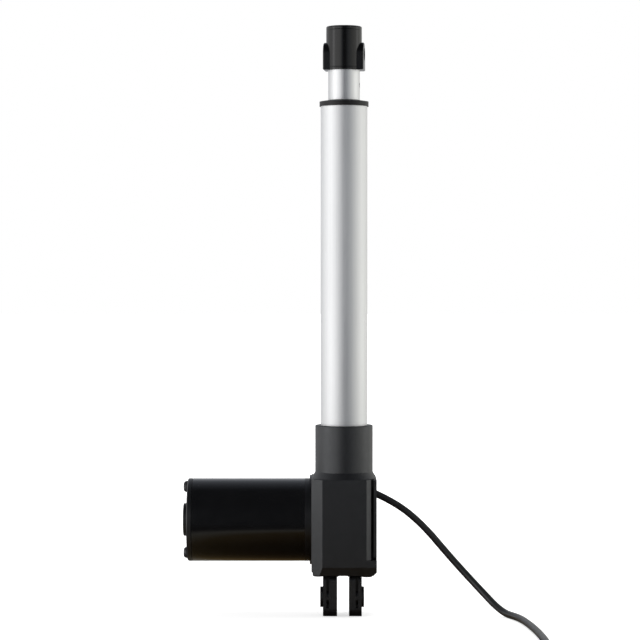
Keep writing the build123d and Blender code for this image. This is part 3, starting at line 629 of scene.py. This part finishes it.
def add_screws(name, node, axis, paint, head_height, **shape):
    """Finished screws in the place of a node's plain ones, all alike. The tops of their heads stay."""
    axis = Vector(axis)
    longest = max(range(3), key=lambda i: abs(axis[i]))
    seats = []
    for low, high in loose_boxes(node):
        seat = (low + high) / 2
        top = high[longest] if axis[longest] > 0 else low[longest]
        seat[longest] = top - axis[longest] * head_height
        seats.append(seat)
        shank_length = (high - low)[longest] - head_height
    rings = screw_rings(head_height=head_height, shank_length=shank_length, **shape)
    add_turned(name, turned_mesh(name, seats, axis, rings, SCREW_SEGMENTS), paint, node)


def add_all_screws(paint):
    """The three kinds of screw that show."""
    add_screws("housing_screw_set", "housing_screws", (0, 0, -1), paint, head_r=0.0038, head_height=0.0024,
               dome=0.00105, shank_r=0.0016, recess=hex_edge, size=0.0011, depth=0.0012)
    add_screws("motor_screw_pair", "motor_tie_screws", (-1, 0, 0), paint, head_r=0.0037, head_height=TIE_HEAD,
               dome=0.0021, shank_r=0.0019, recess=cross_edge, size=0.0014, depth=0.0010)
    add_screws("cover_screw_pair", "side_cover_screws", (1, 0, 0), paint, head_r=0.0024, head_height=0.0011,
               dome=0.0002, shank_r=0.00123, recess=cross_edge, size=0.0015, depth=0.0007)


# Motor's drum and end plate, and the side cover's gasket

def add_drum(paint):
    """The drawn drum, a little shorter at its left end than the node."""
    low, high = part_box("motor_can")
    outer = (high.z - low.z) / 2
    length = high.x - low.x - DRUM_END_CUT
    inner = outer - DRUM_WALL
    rings = round_rings([(inner, 0), (outer, 0), (outer, length - DRUM_EDGE), (outer - DRUM_EDGE, length),
                         (inner, length)])
    seat = Vector((high.x, (low.y + high.y) / 2, (low.z + high.z) / 2))
    mesh = turned_mesh("motor_drum", [seat], Vector((-1, 0, 0)), rings, TURNED_SEGMENTS, tube=True)
    add_turned("motor_drum", mesh, paint, "motor_can")


def add_end_plate(paint):
    """The plate on the drum's left end, with its centre boss outside and its spigot in the drum."""
    low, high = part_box("motor_end_cap")
    drum_low, drum_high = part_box("motor_can")
    outer = (drum_high.z - drum_low.z) / 2
    top = drum_low.x + DRUM_END_CUT - low.x
    spigot = outer - DRUM_WALL
    places = [(END_BUSH_R, -END_SPIGOT), (spigot, -END_SPIGOT), (spigot, 0), (outer, 0),
              (outer, END_PLATE - END_PLATE_EDGE), (outer - END_PLATE_EDGE, END_PLATE),
              (END_BOSS_R, END_PLATE), (END_BOSS_R, top - END_BOSS_EDGE),
              (END_BOSS_R - END_BOSS_EDGE, top)]
    seat = Vector((drum_low.x + DRUM_END_CUT, (low.y + high.y) / 2, (low.z + high.z) / 2))
    rings = round_rings(places)
    mesh = turned_mesh("motor_end_plate", [seat], Vector((-1, 0, 0)), rings, TURNED_SEGMENTS)
    add_turned("motor_end_plate", mesh, paint, "motor_end_cap")


def add_gasket(paint):
    """A rubber gasket that fills the groove between side cover and box, behind the cover's front edge."""
    low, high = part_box("side_cover")
    start = Vector((low.x, low.y + GASKET_FRONT, low.z + GASKET_IN))
    size = Vector((low.x + GROOVE, high.y - GASKET_FRONT, high.z - GASKET_IN)) - start
    made = bmesh.new()
    place = Matrix.Translation(start + size / 2) @ Matrix.Diagonal((*size, 1))
    bmesh.ops.create_cube(made, size=1, matrix=place)
    mesh = mesh_from(made, "cover_gasket")
    mesh.materials.append(paint)
    gasket = placed("cover_gasket", mesh)
    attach(gasket, "housing")


# Cable

def coil_points():
    """The turns that carry on from the route: two lanes side by side, on two layers."""
    low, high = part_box("cable_coil")
    middle = (low + high) / 2
    inner = (high.x - low.x) / 2 - COIL_INSET * CABLE_D

    def place(lane, share, height):
        radius = inner + lane * CABLE_D
        angle = -2 * math.pi * share
        return (middle.x + radius * math.cos(angle), middle.y + radius * math.sin(angle),
                FLOOR_Z + height * CABLE_D)

    points = []
    for turn, (lane, next_lane) in enumerate(zip(COIL_LANES, COIL_LANES[1:])):
        layer = turn // TURNS_IN_LAYER
        next_layer = min(TOP_LAYER, (turn + 1) // TURNS_IN_LAYER)
        for step in range(COIL_STEPS):
            share = step / COIL_STEPS
            across = smooth((share - 1 + COIL_CROSSING) / COIL_CROSSING)
            height = FIRST_LAYER + lerp(layer, next_layer, across)
            points.append(place(lerp(lane, next_lane, across), share, height))
    for step in range(TAIL_STEPS):
        height = lerp(FIRST_LAYER + TOP_LAYER, TAIL_HEIGHT, step / TAIL_STEPS)
        points.append(place(COIL_LANES[-1], step / COIL_STEPS, height))
    return points


def cable_points():
    """The whole cable: its free stretch, its coil, and the end that goes into the plug's boot."""
    low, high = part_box("cable_plug")
    middle = (low + high) / 2
    boot_z = lerp(middle.z, FLOOR_Z + TAIL_HEIGHT * CABLE_D, BOOT_DROP)
    into_boot = [(high.x + BOOT_REACH, middle.y, boot_z), (high.x - BOOT_REACH / 2, middle.y, middle.z)]
    return CABLE_ROUTE + coil_points() + into_boot


def add_cable(paint):
    """The power cable as one smooth curve through its route and its coil."""
    curve = bpy.data.curves.new("cable", "CURVE")
    curve.dimensions = "3D"
    curve.bevel_depth = CABLE_D / 2
    curve.bevel_resolution = CABLE_FACETS
    curve.resolution_u = CABLE_STEPS
    curve.use_fill_caps = True
    points = cable_points()
    spline = curve.splines.new("NURBS")
    spline.points.add(len(points) - 1)
    for point, place in zip(spline.points, points):
        point.co = (*place, 1)
    spline.order_u = CABLE_ORDER
    spline.use_endpoint_u = True
    cable = placed("cable", curve)
    curve.materials.append(paint)
    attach(cable, "housing")
    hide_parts("power_cable", "cable_coil")


# Stage: floor, light and camera

def add_floor():
    """A pale floor that keeps the object's shadow, reads as white to the camera and is clear from below. In
    reflections it shows painted shade near the object and a painted highlight band.
    """
    mesh = bpy.data.meshes.new("floor")
    corners = [(x * FLOOR_HALF, y * FLOOR_HALF, FLOOR_Z) for x, y in ((-1, -1), (1, -1), (1, 1), (-1, 1))]
    mesh.from_pydata(corners, [], [(0, 1, 2, 3)])
    floor = placed("floor", mesh)
    p = Paint("floor_pale")
    p.set(Roughness=0.9, Specular_IOR_Level=0.0, Emission_Color=(1, 1, 1, 1))
    away = p.add("ShaderNodeVectorMath", operation="LENGTH")
    p.link(p.place, away.inputs[0])
    glow = p.spread(away.outputs["Value"], *FLOOR_GLOW, *FLOOR_GLOW_REACH)
    p.link(p.math("MULTIPLY", glow, p.seen_by("Is Camera Ray", "Is Transmission Ray")),
           p.shader.inputs["Emission Strength"])
    far = p.spread(away.outputs["Value"], 0.0, 1.0, 0.0, MIRRORED_REACH)
    # painted reflection of the floor: painted shade near the object and a painted highlight band further out
    painted_reflection = p.ramp(far, [(distance / MIRRORED_REACH, tone) for distance, tone in PAINTED_FLOOR_REFLECTION])
    glossy = p.seen_by("Is Glossy Ray")
    p.link(p.mix(glossy, FLOOR_TONE, painted_reflection), p.shader.inputs["Base Color"])
    gone = p.math("MULTIPLY", glossy, p.spread(away.outputs["Value"], 0.0, 1.0, *MIRRORED_FADE))
    below = p.add("ShaderNodeNewGeometry").outputs["Backfacing"]
    p.link(p.math("SUBTRACT", 1.0, p.math("MAXIMUM", gone, below)), p.shader.inputs["Alpha"])
    mesh.materials.append(p.mat)


def add_world():
    """White to the camera and in reflections, a plain level of light on everything else."""
    world = bpy.data.worlds.new("studio")
    bpy.context.scene.world = world
    world.use_nodes = True
    w = Nodes(world.node_tree)
    background = w.tree.nodes["Background"]
    background.inputs["Color"].default_value = (1, 1, 1, 1)
    seen = w.seen_by("Is Camera Ray", "Is Glossy Ray", "Is Transmission Ray")
    w.link(w.spread(seen, WORLD_LEVEL, 1.0, 0.0, 1.0), background.inputs["Strength"])


def around(azimuth, distance, height):
    """A place round the object. Azimuth 0 is the camera's side, and it grows towards +X."""
    turn = math.radians(azimuth)
    return Vector((math.sin(turn) * distance, -math.cos(turn) * distance, height))


def add_softbox(name, azimuth, distance, height, size, watts, colour, target):
    """A rectangular area lamp turned to a target."""
    light = bpy.data.lights.new(name, "AREA")
    light.shape = "RECTANGLE"
    light.size, light.size_y = size
    light.energy = watts
    light.color = colour
    lamp = placed(name, light)
    lamp.location = around(azimuth, distance, height)
    lamp.rotation_euler = (Vector(target) - lamp.location).to_track_quat("-Z", "Y").to_euler()
    return lamp


def wall_colour(azimuth, tone):
    """A tone of the walls: neutral on the left, slightly warm on the right."""
    return (tone, tone, tone * (WALL_BLUE_RIGHT if azimuth > 0 else WALL_BLUE_LEFT))


def add_dome():
    """A glowing studio seen only in reflections, painted reflections: two bright strips painted as the key
    and fill lamps' highlights, dark round the camera, lit above and behind.
    """
    made = bmesh.new()
    bmesh.ops.create_uvsphere(made, u_segments=DOME_SEGMENTS, v_segments=DOME_SEGMENTS // 2,
                              radius=DOME_RADIUS)
    mesh = mesh_from(made, "studio_dome")
    dome = placed("studio_dome", mesh)
    for kind in ("camera", "diffuse", "shadow", "transmission", "volume_scatter"):
        setattr(dome, f"visible_{kind}", False)
    mat = bpy.data.materials.new("studio_dome")
    mat.use_nodes = True
    d = Nodes(mat.node_tree)
    d.tree.nodes.remove(d.tree.nodes["Principled BSDF"])
    split = d.add("ShaderNodeSeparateXYZ")
    d.link(d.add("ShaderNodeTexCoord").outputs["Object"], split.inputs[0])
    turn = d.math("ARCTAN2", split.outputs["X"], d.math("MULTIPLY", split.outputs["Y"], -1.0))
    share = d.spread(turn, 0.0, 1.0, -math.pi, math.pi)
    stops = [((azimuth + 180) / 360, wall_colour(azimuth, tone)) for azimuth, tone in WALL_TONES]
    wall = d.ramp(share, stops)
    lift = d.math("DIVIDE", split.outputs["Z"], DOME_RADIUS)
    back = d.math("DIVIDE", split.outputs["Y"], DOME_RADIUS)
    front_tone, back_tone = CEILING_TONES
    ceiling = d.spread(back, front_tone / WALL_GAIN, back_tone / WALL_GAIN, *CEILING_TURN)
    plain = d.mix(d.spread(lift, 0.0, 1.0, *CEILING_EDGE), wall, ceiling)
    tinted = d.mix(d.spread(plain, 1.0, 0.0, *TINTED_TONES), plain, STUDIO_TINT, "MULTIPLY")
    glow = d.add("ShaderNodeEmission")
    glow.inputs["Strength"].default_value = WALL_GAIN
    d.link(tinted, glow.inputs["Color"])
    d.link(glow.outputs["Emission"], d.tree.nodes["Material Output"].inputs["Surface"])
    mesh.materials.append(mat)


def add_lights():
    """A bright softbox from the left front, a dimmer warm one from the right, one high up behind."""
    for name, azimuth, distance, height, size, watts, colour in LAMPS:
        lamp = add_softbox(name, azimuth, distance, height, size, watts, colour, LAMP_TARGET)
        # The lamps light the object but are not seen in reflections; the dome's strips are their painted
        # highlights.
        lamp.visible_glossy = False


def add_camera():
    """The photograph's viewing angle: level, from far away, at a height just below the tube's middle."""
    data = bpy.data.cameras.new("camera")
    data.sensor_width = SENSOR_MM
    data.lens = FOCAL_PX / IMAGE_PX * SENSOR_MM
    data.clip_start = CLIP_START
    camera = placed("camera", data)
    tilt = math.atan((IMAGE_PX / 2 - HORIZON_PX) / FOCAL_PX)
    camera.location = (CAMERA_X, -CAMERA_DISTANCE, CAMERA_HEIGHT)
    camera.rotation_euler = (math.pi / 2 - tilt, 0, 0)
    bpy.context.scene.camera = camera


add_camera()
materials = slot_materials()
dress_nodes(materials)
add_cable(materials["cable_jacket"])
add_all_screws(materials["fastener_steel"])
add_drum(materials["motor_paint"])
add_end_plate(materials["end_plate_paint"])
add_gasket(materials["seal_rubber"])
add_floor()
add_world()
add_dome()
add_lights()
bpy.context.scene.view_settings.view_transform = "Standard"
